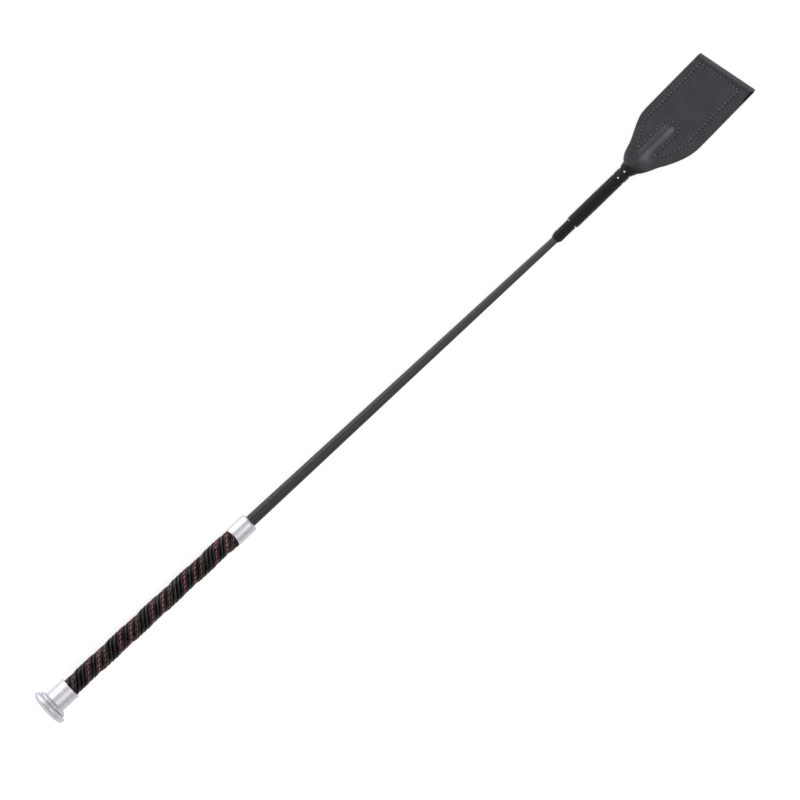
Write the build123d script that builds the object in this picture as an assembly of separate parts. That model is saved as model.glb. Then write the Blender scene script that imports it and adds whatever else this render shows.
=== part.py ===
from build123d import *
import math
import os

# Riding crop, a short jumping bat: a tapered fibreglass rod with a corded grip, a turned
# mushroom pommel, a ferrule, a smooth cover and a folded leather flap bound on with thread.
#
# Frame: millimetres. The origin is the centre of the pommel's flat end face. +X runs along the
# rod from the pommel to the flap, +Z is square to the flap's broad face, +Y completes the frame.
# From tip_start on, the rod's tip and all it carries lean by tip_lean towards +Y.

# ---------------------------------------------------------------- driving dimensions
# lengths along the rod
pommel_length = 23.6            # end face to the mouth of the neck
grip_length = 152.3             # mouth of the neck to the ferrule
ferrule_length = 16.4
bare_shaft_length = 285.7       # ferrule to the first turn of the whipping
base_winding_length = 16.4
main_winding_length = 43.9
ring_winding_length = 5.0
throat_winding_length = 5.0
winding_gap = 1.1               # bare groove beside the ring winding

# pommel, turned
handle_tube_diameter = 8.4      # tube under the grip, which sets the size of all around it
neck_diameter = handle_tube_diameter + 7.9
end_land_diameter = 12.0        # flat centre of the end face
rim_diameter = neck_diameter + 11.2
rim_depth = 5.4                 # end face to the groove behind the rim
rim_crest_depth = 3.5           # end face to the rim's widest circle
rim_shoulder = 0.95             # inset of the rim's radius where its rounded edge starts and ends
groove_diameter = neck_diameter + 5.6
collar_diameter = neck_diameter + 6.6   # second, smaller ring
collar_crest_depth = 6.8        # end face to the collar's widest circle
collar_depth = 8.9              # end face to the start of the neck
neck_chamfer = 0.3
rod_seat_depth = 9.9            # end face to the bottom of the bore

# rod, its cover and the tube under the grip
rod_grip_diameter = 6.0
rod_whipping_diameter = 3.3
rod_tip_diameter = 2.4
cover_butt_diameter = 8.6
cover_whipping_diameter = 5.3
cover_tip_diameter = 4.0
spigot_length = 5.0             # handle tube inside the ferrule
tip_reach = 39.0                # rod's end, measured from the mouth of the flap

# grip: round cords and three twisted threads, laid side by side in one left-hand wrap
# number of cords in each group, their diameter and their pitch along the rod
cord_groups = [(3, 2.20, 3.10), (2, 1.95, 2.75), (4, 2.55, 3.50)]
thread_diameter = 1.0
thread_share = 0.4              # extra pitch where a thread lies between two groups
wrap_turn = 227.4               # where the wrap starts, degrees about the rod
grip_tuck = 2.0                 # wrap inside the neck's mouth

# ferrule and whipping
ferrule_diameter = handle_tube_diameter + 5.5
ferrule_round = 1.9             # edge towards the shaft
ferrule_mouth_dip = 1.4         # how far its other end curves back above and below
base_winding_diameter = 8.2
main_winding_diameter = 9.7
ring_winding_diameter = 10.0
throat_start_width = 11.6
throat_end_width = 13.4
throat_end_height = 9.4
winding_thread_diameter = 0.9
winding_round = 0.9
seal_side = 84                  # the seals' place round the winding, degrees from +Y

# flap: one leather strip folded over at its far end and sewn round
leather_thickness = 1.6
layer_gap = 0.1
flap_left = 21.0                # rod's axis to the +Y edge
flap_right = 24.7               # rod's axis to the -Y edge
# how each edge flares: shares of the way to the bend line, and of the full half width there
left_flare = [(0.08, 0.46), (0.26, 0.60), (0.49, 0.85), (0.73, 1.0)]
right_flare = [(0.06, 0.38), (0.23, 0.54), (0.45, 0.77), (0.68, 0.94), (0.86, 1.0)]
mouth_half_width = 7.3          # flap where it leaves the whipping
flap_reach = 93.5               # mouth of the flap to the fold, on the rod's axis
flap_lean = 1.5                 # flap against the rod's tip, degrees
fold_skew = 10.6                # fold line against the flap's square, degrees
fold_height = 2 * leather_thickness + 1.8   # over the open loop at the fold
loop_length = 5.8               # over which the two layers part
keel_width = 10.4               # ridge of leather over the rod's tip
keel_margin = 2.6               # keel's end beyond the rod's end
bend_reach = 48.0               # mouth of the flap to its bend line
bend_limit = 62.0               # degrees that the cut at the bend leaves free, each way
bend_clearance = 0.2

# seam: one upper and one lower thread
seam_width = 0.7
seam_height = 0.35
seam_inset_left = 5.35
seam_inset_right = 8.5
seam_inset_fold = 6.5
seam_keel_margin = 0.6          # keel's foot to the seam beside it
seam_start_left = 12.0          # mouth of the flap to the seam's +Y point
seam_start_right = 14.3         # and to its -Y point
seam_shoulder_left = 28.4       # where the seam turns to run along the +Y edge
seam_shoulder_right = 34.5

# lean of the rod's tip
tip_lean = 1.2                  # degrees

# clearances
fit = 0.05                      # radial, between glued pieces
end_gap = 0.1                   # along the rod, between pieces that butt

# ---------------------------------------------------------------- stations along the rod
neck_mouth = pommel_length
ferrule_start = neck_mouth + grip_length
ferrule_end = ferrule_start + ferrule_length
tip_start = ferrule_end + bare_shaft_length
main_start = tip_start + base_winding_length + end_gap
main_end = main_start + main_winding_length
ring_start = main_end + winding_gap
ring_end = ring_start + ring_winding_length
throat_start = ring_end + winding_gap
throat_end = throat_start + throat_winding_length
flap_mouth = throat_end + end_gap + mouth_half_width * math.sin(math.radians(flap_lean))
cover_start = ferrule_start + spigot_length + end_gap
rod_end = flap_mouth + tip_reach

# ---------------------------------------------------------------- derived sizes
grip_start = neck_mouth - grip_tuck + end_gap
grip_end = ferrule_start - end_gap
thread_radius = thread_diameter / 2
wrap_lead = sum(count * pitch + thread_share for count, diameter, pitch in cord_groups)
half_stack = leather_thickness + layer_gap / 2
keel_height = cover_tip_diameter / 2 + fit + leather_thickness
tongue_radius = main_winding_diameter / 2 - winding_thread_diameter - fit
cord_bed = handle_tube_diameter / 2 + fit
widest_cord = max(diameter for count, diameter, pitch in cord_groups)
wrap_outer_radius = cord_bed + widest_cord + thread_radius
seam_keel_end = rod_end - flap_mouth + keel_margin + seam_keel_margin + seam_width


os.makedirs("parts", exist_ok=True)


def export(shape, node):
    export_step(shape, f"parts/{node}.step")


def along_x(start, end, radius):
    """A round bar about the rod's axis, from start to end."""
    return Plane(origin=(start, 0, 0), z_dir=(1, 0, 0)) * extrude(Circle(radius), end - start)


def on_tip(shape):
    """Moves a piece that is drawn on the straight axis onto the leaning tip."""
    pivot = Location((tip_start, 0, 0))
    return pivot * Rotation(0, 0, tip_lean) * pivot.inverse() * shape


def on_flap(shape):
    """Moves a piece that is drawn from the flap's mouth, u along it and v across, into place."""
    return on_tip(Location((flap_mouth, 0, 0)) * Rotation(0, 0, flap_lean) * shape)


def leaning_bar(stations, extra=0.0):
    """A tapering bar through (x, radius) stations, with one small bend at tip_start."""
    sections = []
    for x, radius in stations:
        turn = math.radians(tip_lean) * (x > tip_start) + math.radians(tip_lean / 2) * (x == tip_start)
        beyond = max(x - tip_start, 0.0)
        lean = math.radians(tip_lean)
        origin = (min(x, tip_start) + beyond * math.cos(lean), beyond * math.sin(lean), 0)
        plane = Plane(origin=origin, x_dir=(0, 0, 1), z_dir=(math.cos(turn), math.sin(turn), 0))
        sections.append(plane * Circle(radius + extra))
    return loft(sections, ruled=True)


# ---------------------------------------------------------------- rod, cover and handle tube
rod_stations = [(rod_seat_depth + end_gap, rod_grip_diameter / 2), (cover_start, rod_grip_diameter / 2),
                (tip_start, rod_whipping_diameter / 2), (rod_end, rod_tip_diameter / 2)]
cover_slope = (cover_butt_diameter - cover_whipping_diameter) / 2 / bare_shaft_length
cover_stations = [(cover_start, cover_butt_diameter / 2 + cover_slope * (ferrule_end - cover_start)),
                  (tip_start, cover_whipping_diameter / 2), (rod_end, cover_tip_diameter / 2)]


def cover_radius(x):
    """Outer radius of the cover at x, between its stations."""
    for (x0, r0), (x1, r1) in zip(cover_stations, cover_stations[1:]):
        if x0 <= x <= x1:
            return r0 + (r1 - r0) * (x - x0) / (x1 - x0)
    return cover_stations[-1][1]


def shaft_cover():
    bore_stations = [(x, radius) for x, radius in rod_stations if x >= cover_start]
    return leaning_bar(cover_stations) - leaning_bar(bore_stations, fit)


def handle_tube():
    start = rod_seat_depth + end_gap
    end = ferrule_start + spigot_length
    return along_x(start, end, handle_tube_diameter / 2) - along_x(start, end, rod_grip_diameter / 2 + fit)


# ---------------------------------------------------------------- pommel and ferrule
def pommel_cap():
    """Turned cap: flat end land, domed rim, groove, smaller collar, straight neck, stepped bore."""
    land, rim, groove, collar, neck = (diameter / 2 for diameter in (
        end_land_diameter, rim_diameter, groove_diameter, collar_diameter, neck_diameter))
    half_rim = rim_depth - rim_crest_depth
    dome_end = (rim_crest_depth - half_rim, rim - rim_shoulder)
    rim_end = (rim_depth - neck_chamfer, rim - rim_shoulder)
    groove_end = (rim_depth + neck_chamfer, groove)
    collar_start = ((groove_end[0] + collar_crest_depth) / 2, (groove + 2 * collar) / 3)
    crest = (collar_crest_depth, collar)
    with BuildSketch(Plane.XY) as half:
        with BuildLine():
            Line((0, 0), (0, land))
            Spline((0, land), dome_end, tangents=[(0.12, 1), (0.6, 1)])
            ThreePointArc(dome_end, (rim_crest_depth, rim), rim_end)
            Line(rim_end, groove_end)
            ThreePointArc(groove_end, collar_start, crest)
            Spline(crest, (collar_depth, neck), tangents=[(1, -0.1), (0.45, -1)])
            Line((collar_depth, neck), (pommel_length - neck_chamfer, neck))
            Line((pommel_length - neck_chamfer, neck), (pommel_length, neck - neck_chamfer))
            Line((pommel_length, neck - neck_chamfer), (pommel_length, 0))
            Line((pommel_length, 0), (0, 0))
        make_face()
    body = revolve(half.sketch, Axis.X)
    bore = along_x(rod_seat_depth, pommel_length + 1, handle_tube_diameter / 2 + fit)
    mouth = along_x(neck_mouth - grip_tuck, pommel_length + 1, wrap_outer_radius + fit)
    return body - bore - mouth


def beyond_mouth(start):
    """A block from the ferrule's mouth onward, with the mouth at start. Seen from the side the mouth
    is an arc, so that it dips above and below."""
    radius = ferrule_diameter / 2
    upper = (start + ferrule_mouth_dip, radius)
    lower = (start + ferrule_mouth_dip, -radius)
    far = ferrule_end + end_gap
    with BuildSketch(Plane.XZ) as side_view:
        with BuildLine():
            ThreePointArc(upper, (start, 0), lower)
            Polyline(lower, (far, -radius), (far, radius), upper)
        make_face()
    return extrude(side_view.sketch, radius, both=True)


def ferrule():
    """Turned collar over the end of the handle tube and the start of the cover."""
    blank = along_x(ferrule_start, ferrule_end, ferrule_diameter / 2)
    blank = fillet(blank.edges().sort_by(Axis.X)[-1], ferrule_round)
    bore = along_x(ferrule_start - 1, cover_start, handle_tube_diameter / 2 + fit)
    return (blank & beyond_mouth(ferrule_start)) - bore - leaning_bar(cover_stations, fit)


# ---------------------------------------------------------------- grip wrap
def strand(centre_radius, radius, spare):
    """One left-hand helical strand, which runs past both ends of the grip by spare and keeps its phase."""
    height = grip_end - grip_start + 2 * spare
    path = Helix(pitch=wrap_lead, height=height, radius=centre_radius, direction=(1, 0, 0),
                 center=(grip_start - spare, 0, 0), lefthand=True)
    section = Plane(origin=path @ 0, z_dir=path % 0) * Circle(radius)
    return Rotation(360 * spare / wrap_lead, 0, 0) * sweep(section, path=path, is_frenet=True)


def cord(diameter, turn):
    """A cord on the handle tube, cut square in the neck and to the ferrule's mouth at its other end."""
    long_cord = strand(cord_bed + diameter / 2, diameter / 2, 2 * diameter)
    space = along_x(grip_start, grip_end + ferrule_mouth_dip, 2 * wrap_outer_radius)
    return (Rotation(turn, 0, 0) * long_cord) & (space - beyond_mouth(grip_end))


def lay_grip():
    """Exports the cords, and a thread in the groove before each group of cords."""
    place = 0.0
    number = 0
    before = cord_groups[-1][1]
    for group, (count, diameter, pitch) in enumerate(cord_groups, start=1):
        thread_centre = cord_bed + (diameter + before) / 2 + thread_radius * 0.2
        thread = strand(thread_centre, thread_radius, -thread_radius)
        export(Rotation(wrap_turn + 360 * place / wrap_lead, 0, 0) * thread, f"grip_thread_{group}")
        place += (pitch + thread_share) / 2
        for each in range(count):
            number += 1
            export(cord(diameter, wrap_turn + 360 * place / wrap_lead), f"grip_cord_{number}")
            place += pitch
        place += (thread_share - pitch) / 2
        before = diameter


# ---------------------------------------------------------------- thread whipping
def winding(start, end, diameter, inner_radius):
    """A tight winding as a tube with rounded ends."""
    tube = along_x(start, end, diameter / 2)
    tube = fillet(tube.edges(), min(winding_round, (end - start) / 3))
    return on_tip(tube - along_x(start - 1, end + 1, inner_radius))


def oval(x, width, height):
    return Plane(origin=(x, 0, 0), x_dir=(0, 1, 0), z_dir=(1, 0, 0)) * Ellipse(width / 2, height / 2)


def throat(shrink):
    """The oval cone from the ring winding to the mouth of the flap, made smaller all round by shrink."""
    return loft([oval(throat_start, throat_start_width - 2 * shrink, throat_start_width - 2 * shrink),
                 oval(throat_end, throat_end_width - 2 * shrink, throat_end_height - 2 * shrink)])


def throat_winding():
    return on_tip(throat(0) - throat(winding_thread_diameter))


def winding_seals():
    """Two beads of lacquer in the grooves beside the ring winding, where the thread ends are sealed."""
    radius = winding_gap / 2 - fit
    beads = []
    for groove_middle in (main_end + winding_gap / 2, ring_end + winding_gap / 2):
        out = tongue_radius + winding_thread_diameter - radius / 3
        side = math.radians(seal_side)
        centre = (groove_middle, out * math.cos(side), out * math.sin(side))
        beads.append(on_tip(Location(centre) * Sphere(radius)))
    return Compound(children=beads)


# ---------------------------------------------------------------- leather flap
def flap_outline(beyond_fold):
    """Plan of the flap: two edges that flare from its mouth and then run straight past the fold."""
    left = [(0, mouth_half_width)]
    left += [(along * bend_reach, across * flap_left) for along, across in left_flare]
    right = [(0, -mouth_half_width)]
    right += [(along * bend_reach, -across * flap_right) for along, across in right_flare]
    far = flap_reach + beyond_fold
    with BuildSketch() as plan:
        with BuildLine():
            Spline(left, tangents=[(1, 0.8), (1, 0)])
            Line(left[-1], (far, flap_left))
            Line((far, flap_left), (far, -flap_right))
            Line((far, -flap_right), right[-1])
            Spline(right, tangents=[(1, -0.8), (1, 0)])
            Line(right[0], left[0])
        make_face()
    return plan.sketch


def bend_cutter(side):
    """Everything past the bend line, with an arrow point, so that the blade can swing both ways."""
    high = 4 * half_stack
    set_back = bend_clearance + high * math.tan(math.radians(bend_limit / 2))
    far = 2 * flap_reach
    points = [(side * bend_clearance, 0), (side * set_back, high), (-side * far, high),
              (-side * far, -high), (side * set_back, -high)]
    profile = Plane.XZ * make_face(Polyline(points, close=True))
    half_width = 2 * (flap_left + flap_right)
    return Location((bend_reach, 0, 0)) * extrude(profile, half_width, both=True)


def keel():
    """Ridge over the rod's tip, closing in to a rounded end; drawn on the tip's straight axis."""
    end = rod_end + keel_margin
    sections = [oval(throat_end, keel_width, 2 * keel_height)]
    for part in (0, 30, 55, 75):
        back = keel_width / 3 * (1 - math.sin(math.radians(part)))
        size = math.cos(math.radians(part))
        sections.append(oval(end - back, keel_width * size, 2 * keel_height * size))
    return loft(sections, ruled=True)


def flap_root():
    """Both layers from under the whipping to the bend line, as one block about the rod's tip."""
    tongue = along_x(main_start, throat_start, tongue_radius)
    blend = throat(winding_thread_diameter + fit)
    plate = extrude(flap_outline(0), half_stack, both=True)
    plate = on_flap(plate - bend_cutter(-1))
    return plate + on_tip(tongue + blend + keel()) - leaning_bar(cover_stations, fit) \
        - on_tip(along_x(rod_end - 1, rod_end + fit, cover_tip_diameter / 2 + fit))


def root_layer(block, side):
    """The half of the root block on one side of the flap's middle plane."""
    size = 4 * flap_reach
    half = Location((tip_start, 0, side * (size / 2 + layer_gap / 2))) * Box(size, size, size)
    return block & half


def flap_blade():
    """The rest of the strip: two layers that part near the far end and turn over in an open loop."""
    radius = fold_height / 2
    inner = radius - leather_thickness
    reach = loop_length - leather_thickness / 2
    tangent = math.acos(inner / (reach - radius))
    touch = (-radius - inner * math.cos(tangent), inner * math.sin(tangent))
    with BuildSketch(Plane.XZ) as side_view:
        with BuildLine():
            Line((-2 * flap_reach, half_stack), (-loop_length, half_stack))
            Spline((-loop_length, half_stack), (-radius, radius), tangents=[(1, 0), (1, 0)])
            ThreePointArc((-radius, radius), (0, 0), (-radius, -radius))
            Spline((-radius, -radius), (-loop_length, -half_stack), tangents=[(-1, 0), (-1, 0)])
            Line((-loop_length, -half_stack), (-2 * flap_reach, -half_stack))
            Line((-2 * flap_reach, -half_stack), (-2 * flap_reach, half_stack))
        make_face()
        with BuildLine():
            Line((-reach, 0), touch)
            ThreePointArc(touch, (inner - radius, 0), (touch[0], -touch[1]))
            Line((touch[0], -touch[1]), (-reach, 0))
        make_face(mode=Mode.SUBTRACT)
    strip = extrude(side_view.sketch, 2 * (flap_left + flap_right), both=True)
    strip = Location((flap_reach, 0, 0)) * Rotation(0, 0, fold_skew) * strip
    plan = extrude(flap_outline(2 * flap_right), fold_height, both=True)
    return on_flap((strip & plan) - bend_cutter(1))


# ---------------------------------------------------------------- seam
def seam_path():
    """Closed line of the seam in the flap's plan: round the border, then back round the keel's end."""
    keel_side = keel_width / 2 + seam_keel_margin
    slope = math.tan(math.radians(flap_lean))
    skew = math.tan(math.radians(fold_skew))
    left = flap_left - seam_inset_left
    right = -(flap_right - seam_inset_right)
    far = flap_reach - seam_inset_fold
    points = [(seam_start_left, keel_side - seam_start_left * slope), (seam_shoulder_left, left),
              (far - left * skew, left), (far - right * skew, right), (seam_shoulder_right, right),
              (seam_start_right, -keel_side - seam_start_right * slope),
              (seam_keel_end, -keel_side - seam_keel_end * slope),
              (seam_keel_end, keel_side - seam_keel_end * slope)]
    path = make_face(Polyline(points, close=True))
    keel_corners = [v for v in path.vertices() if abs(v.X - seam_keel_end) < fit]
    return fillet(keel_corners, keel_width / 2)


def seam_threads(level):
    """The thread on one face of the flap, as a flat bead, from above (level 1) or below (-1)."""
    outer = offset(seam_path(), seam_width / 2, kind=Kind.INTERSECTION)
    inner = offset(seam_path(), -seam_width / 2, kind=Kind.INTERSECTION)
    bead = extrude(outer - inner, level * seam_height)
    return Location((0, 0, level * half_stack)) * bead


def split_seam(bead, side):
    """The part of a seam bead on one side of the bend line."""
    size = 4 * flap_reach
    margin = bend_clearance + half_stack + seam_height
    half = Location((bend_reach + side * (size / 2 + margin), 0, 0)) * Box(size, size, size)
    return on_flap(bead & half)


# ---------------------------------------------------------------- the whole crop
export(pommel_cap(), "pommel_cap")
export(leaning_bar(rod_stations), "core_rod")
export(handle_tube(), "handle_tube")
export(shaft_cover(), "shaft_cover")
export(ferrule(), "ferrule")
lay_grip()
export(winding(tip_start, tip_start + base_winding_length, base_winding_diameter,
               cover_radius(tip_start) + fit), "whipping_base")
export(winding(main_start, main_end, main_winding_diameter, tongue_radius + fit), "whipping_main")
export(winding(ring_start, ring_end, ring_winding_diameter, tongue_radius + fit), "whipping_ring")
export(throat_winding(), "whipping_throat")
export(winding_seals(), "whipping_seals")
root_block = flap_root()
export(root_layer(root_block, 1), "flap_root_front")
export(root_layer(root_block, -1), "flap_root_back")
export(flap_blade(), "flap_blade")
for face, level in (("front", 1), ("back", -1)):
    bead = seam_threads(level)
    export(split_seam(bead, -1), f"seam_{face}_root")
    export(split_seam(bead, 1), f"seam_{face}_blade")
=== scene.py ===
"""Looks of a short riding crop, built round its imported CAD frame.

Lengths are in metres. +X runs along the rod from the pommel to the flap, +Z is square to the
flap's broad face. From TIP_START on, everything leans a little towards +Y with the rod's tip.
"""
import math

import bpy
import numpy as np
from mathutils import Matrix, Vector


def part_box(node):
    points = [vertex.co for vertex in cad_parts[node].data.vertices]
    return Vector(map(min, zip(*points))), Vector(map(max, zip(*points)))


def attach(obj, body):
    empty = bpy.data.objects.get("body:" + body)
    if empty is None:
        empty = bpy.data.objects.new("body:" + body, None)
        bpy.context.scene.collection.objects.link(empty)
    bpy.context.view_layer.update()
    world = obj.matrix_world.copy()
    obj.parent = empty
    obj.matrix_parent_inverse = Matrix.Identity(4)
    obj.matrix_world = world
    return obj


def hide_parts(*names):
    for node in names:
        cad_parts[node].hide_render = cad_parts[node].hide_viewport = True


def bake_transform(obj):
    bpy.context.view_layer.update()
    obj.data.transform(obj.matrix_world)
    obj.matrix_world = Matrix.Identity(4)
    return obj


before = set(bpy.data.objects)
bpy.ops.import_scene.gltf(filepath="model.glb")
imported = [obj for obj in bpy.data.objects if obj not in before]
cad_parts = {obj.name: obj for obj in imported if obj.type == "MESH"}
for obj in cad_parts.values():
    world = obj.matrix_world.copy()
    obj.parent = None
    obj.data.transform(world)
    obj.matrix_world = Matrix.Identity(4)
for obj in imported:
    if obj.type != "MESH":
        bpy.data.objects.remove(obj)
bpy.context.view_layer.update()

MM = 0.001

# ---------------------------------------------------------------- sizes shared with the CAD model
NECK_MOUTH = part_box("pommel_cap")[1][0]
GRIP_START = NECK_MOUTH - 1.9 * MM
FERRULE_START, FERRULE_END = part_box("ferrule")[0][0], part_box("ferrule")[1][0]
FERRULE_RADIUS = 6.95 * MM
MOUTH_DIP = 1.4 * MM                    # how far the ferrule's mouth curves back above and below
GRIP_END = FERRULE_START - 0.1 * MM
BARE_SHAFT = 285.7 * MM
TIP_START = FERRULE_END + BARE_SHAFT
TIP_LEAN = math.radians(1.2)
FLAP_LEAN = math.radians(1.5)
COVER_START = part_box("shaft_cover")[0][0]
TUBE_RADIUS = 4.2 * MM                  # tube under the grip
FIT = 0.05 * MM
GROOVE = 1.1 * MM                       # bare ring beside the narrow winding
BASE_END = TIP_START + 16.4 * MM
MAIN_START = BASE_END + 0.1 * MM
MAIN_END = MAIN_START + 43.9 * MM
RING_START = MAIN_END + GROOVE
RING_END = RING_START + 5.0 * MM
THROAT_START = RING_END + GROOVE
THROAT_END = THROAT_START + 5.0 * MM
MOUTH_HALF = 7.3 * MM
FLAP_MOUTH = THROAT_END + 0.1 * MM + MOUTH_HALF * math.sin(FLAP_LEAN)
ROD_END = FLAP_MOUTH + 39.0 * MM


# ---------------------------------------------------------------- mesh tools
def smoothstep(value, low, high):
    """0 below low, 1 above high, and 3t^2 - 2t^3 between them."""
    t = np.clip((value - low) / (high - low), 0.0, 1.0)
    return t * t * (3 - 2 * t)


def catmull(points, steps):
    """A smooth line through points: the cubic through each pair whose slopes are half the
    difference of the points either side, in `steps` parts."""
    points = np.asarray(points, float)
    padded = np.vstack([2 * points[0] - points[1], points, 2 * points[-1] - points[-2]])
    t = np.arange(steps)[:, None] / steps
    a, b, c, d = (padded[i:len(padded) - 3 + i, None, :] for i in range(4))
    curve = 0.5 * (2 * b + (c - a) * t + (2 * a - 5 * b + 4 * c - d) * t ** 2
                   + (3 * b - a - 3 * c + d) * t ** 3)
    return np.vstack([curve.reshape(-1, points.shape[1]), points[-1:]])


def rounded(corners, size, steps=5, closed=False):
    """A polyline whose corners are each a quadratic curve between the two points `size` from it."""
    corners = np.asarray(corners, float)
    before = np.roll(corners, 1, axis=0) - corners
    after = np.roll(corners, -1, axis=0) - corners
    short = np.minimum(np.linalg.norm(before, axis=1), np.linalg.norm(after, axis=1))
    reach = np.minimum(size, 0.45 * short)[:, None]
    start = corners + before / np.linalg.norm(before, axis=1)[:, None] * reach
    end = corners + after / np.linalg.norm(after, axis=1)[:, None] * reach
    t = np.linspace(0, 1, steps)[None, :, None]
    curve = (1 - t) ** 2 * start[:, None] + 2 * t * (1 - t) * corners[:, None] + t ** 2 * end[:, None]
    if closed:
        return curve.reshape(-1, corners.shape[1])
    inner = curve[1:-1].reshape(-1, corners.shape[1])
    return np.vstack([corners[:1], inner, corners[-1:]])


def grid(rows, columns, close_rows=False, close_columns=False):
    """Quads between neighbours of a rows x columns grid, and the (row, column) of each corner."""
    row, column = np.meshgrid(np.arange(rows - (not close_rows)), np.arange(columns - (not close_columns)),
                              indexing="ij")
    row = row.ravel()[:, None] + np.array([0, 0, 1, 1])
    column = column.ravel()[:, None] + np.array([0, 1, 1, 0])
    return (row % rows) * columns + column % columns, np.stack([row, column], axis=2)


def signed_volume(points, faces):
    """Six times the volume inside faces: the sum over their triangles of a . (b x c)."""
    a, b, c, d = (points[faces[:, i]] for i in range(4))
    return np.sum(a * np.cross(b, c)) + np.sum(a * np.cross(c, d))


def make_piece(name, points, faces, uvs, material):
    """One closed mesh from arrays of points, quads and corner UVs, turned so that it faces out.
    A quad whose last corner repeats its third is a triangle."""
    if signed_volume(points, faces) < 0:
        order = np.array([1, 0, 3, 2])
        faces = np.where((faces[:, 2] == faces[:, 3])[:, None], faces[:, [1, 0, 2, 2]], faces[:, order])
        uvs = np.where((faces[:, 2] == faces[:, 3])[:, None, None], uvs[:, [1, 0, 2, 2]], uvs[:, order])
    triangle = faces[:, 2] == faces[:, 3]
    sides = np.where(triangle, 3, 4)
    keep = np.ones(faces.shape, bool)
    keep[triangle, 3] = False
    mesh = bpy.data.meshes.new(name)
    mesh.vertices.add(len(points))
    mesh.vertices.foreach_set("co", np.ascontiguousarray(points, np.float32).ravel())
    mesh.loops.add(int(sides.sum()))
    mesh.loops.foreach_set("vertex_index", faces[keep].astype(np.int32))
    mesh.polygons.add(len(faces))
    mesh.polygons.foreach_set("loop_start", np.concatenate([[0], np.cumsum(sides)[:-1]]).astype(np.int32))
    mesh.polygons.foreach_set("use_smooth", np.ones(len(faces), bool))
    layer = mesh.uv_layers.new(name="UVMap")
    mesh.update(calc_edges=True)
    layer.data.foreach_set("uv", np.ascontiguousarray(uvs[keep], np.float32).ravel())
    mesh.validate()
    piece = bpy.data.objects.new(name, mesh)
    bpy.context.scene.collection.objects.link(piece)
    mesh.materials.append(material)
    return piece


def join_parts(parts):
    """Several (points, faces, uvs) as one, with the face numbers moved up."""
    start = np.cumsum([0] + [len(points) for points, faces, uvs in parts])
    return (np.vstack([points for points, faces, uvs in parts]),
            np.vstack([faces + first for (points, faces, uvs), first in zip(parts, start)]),
            np.vstack([uvs for points, faces, uvs in parts]))


def capped_tube(rings, closed=False):
    """Points, faces and UVs of a tube through rings (stations x sides x 3). Its ends close on a
    point at each end ring's middle. U is the distance along it in metres, V goes once round."""
    stations, sides, _ = rings.shape
    middle = rings.mean(axis=1)
    along = np.concatenate([[0], np.cumsum(np.linalg.norm(np.diff(middle, axis=0), axis=1))])
    faces, corner = grid(stations, sides, close_rows=closed, close_columns=True)
    along = np.append(along, along[-1])
    last = stations - (not closed)
    uvs = np.stack([along[np.minimum(corner[..., 0], last)], corner[..., 1] / sides], axis=2)
    points = rings.reshape(-1, 3)
    if closed:
        return points, faces, uvs
    side = np.arange(sides)
    caps = []
    for pole, ring in ((len(points), 0), (len(points) + 1, stations - 1)):
        a, b = ring * sides + side, ring * sides + (side + 1) % sides
        pair = (a, b) if ring else (b, a)
        caps.append(np.stack([pair[0], pair[1], np.full(sides, pole), np.full(sides, pole)], axis=1))
    cap_uvs = [np.full((sides, 4, 2), (along[ring], 0.5)) for ring in (0, stations - 1)]
    return (np.vstack([points, middle[:1], middle[-1:]]), np.vstack([faces] + caps),
            np.vstack([uvs] + cap_uvs))


def round_rings(path, outward, radius, sides, flat=1.0):
    """Rings round a path: path + radius (cos a . outward . flat + sin a . across), where across is
    square to the path's direction and to outward."""
    direction = np.gradient(path, axis=0)
    direction /= np.linalg.norm(direction, axis=1)[:, None]
    across = np.cross(direction, outward)
    across /= np.linalg.norm(across, axis=1)[:, None]
    outward = np.cross(across, direction)
    angle = 2 * np.pi * np.arange(sides) / sides
    radius = np.broadcast_to(np.asarray(radius, float), (len(path),))[:, None, None]
    return (path[:, None] + radius * (flat * np.cos(angle)[None, :, None] * outward[:, None]
                                      + np.sin(angle)[None, :, None] * across[:, None]))


def lathe(profile, sides, closed=True):
    """Surface of revolution about the rod's axis: (x, r) goes to (x, r cos a, r sin a)."""
    angle = 2 * np.pi * np.arange(sides) / sides
    x, r = profile[:, 0, None], profile[:, 1, None]
    rings = np.stack([x + 0 * angle, r * np.cos(angle), r * np.sin(angle)], axis=2)
    return capped_tube(rings, closed)


def on_tip(points):
    """Turns points about the start of the tip by the tip's lean, which grows over 2 mm there."""
    points = np.array(points, float)
    x, y = points[..., 0] - TIP_START, points[..., 1].copy()
    turn = TIP_LEAN * np.clip(x / (2 * MM) + 0.5, 0, 1)
    points[..., 0] = TIP_START + x * np.cos(turn) - y * np.sin(turn)
    points[..., 1] = x * np.sin(turn) + y * np.cos(turn)
    return points


def on_flap(points):
    """Moves points from the flap's own (u, v, z), measured from its mouth, onto the leaning tip."""
    u, v, z = points[..., 0], points[..., 1], points[..., 2]
    x = FLAP_MOUTH + u * math.cos(FLAP_LEAN) - v * math.sin(FLAP_LEAN)
    y = u * math.sin(FLAP_LEAN) + v * math.cos(FLAP_LEAN)
    return on_tip(np.stack([x, y, z], axis=-1))


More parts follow.
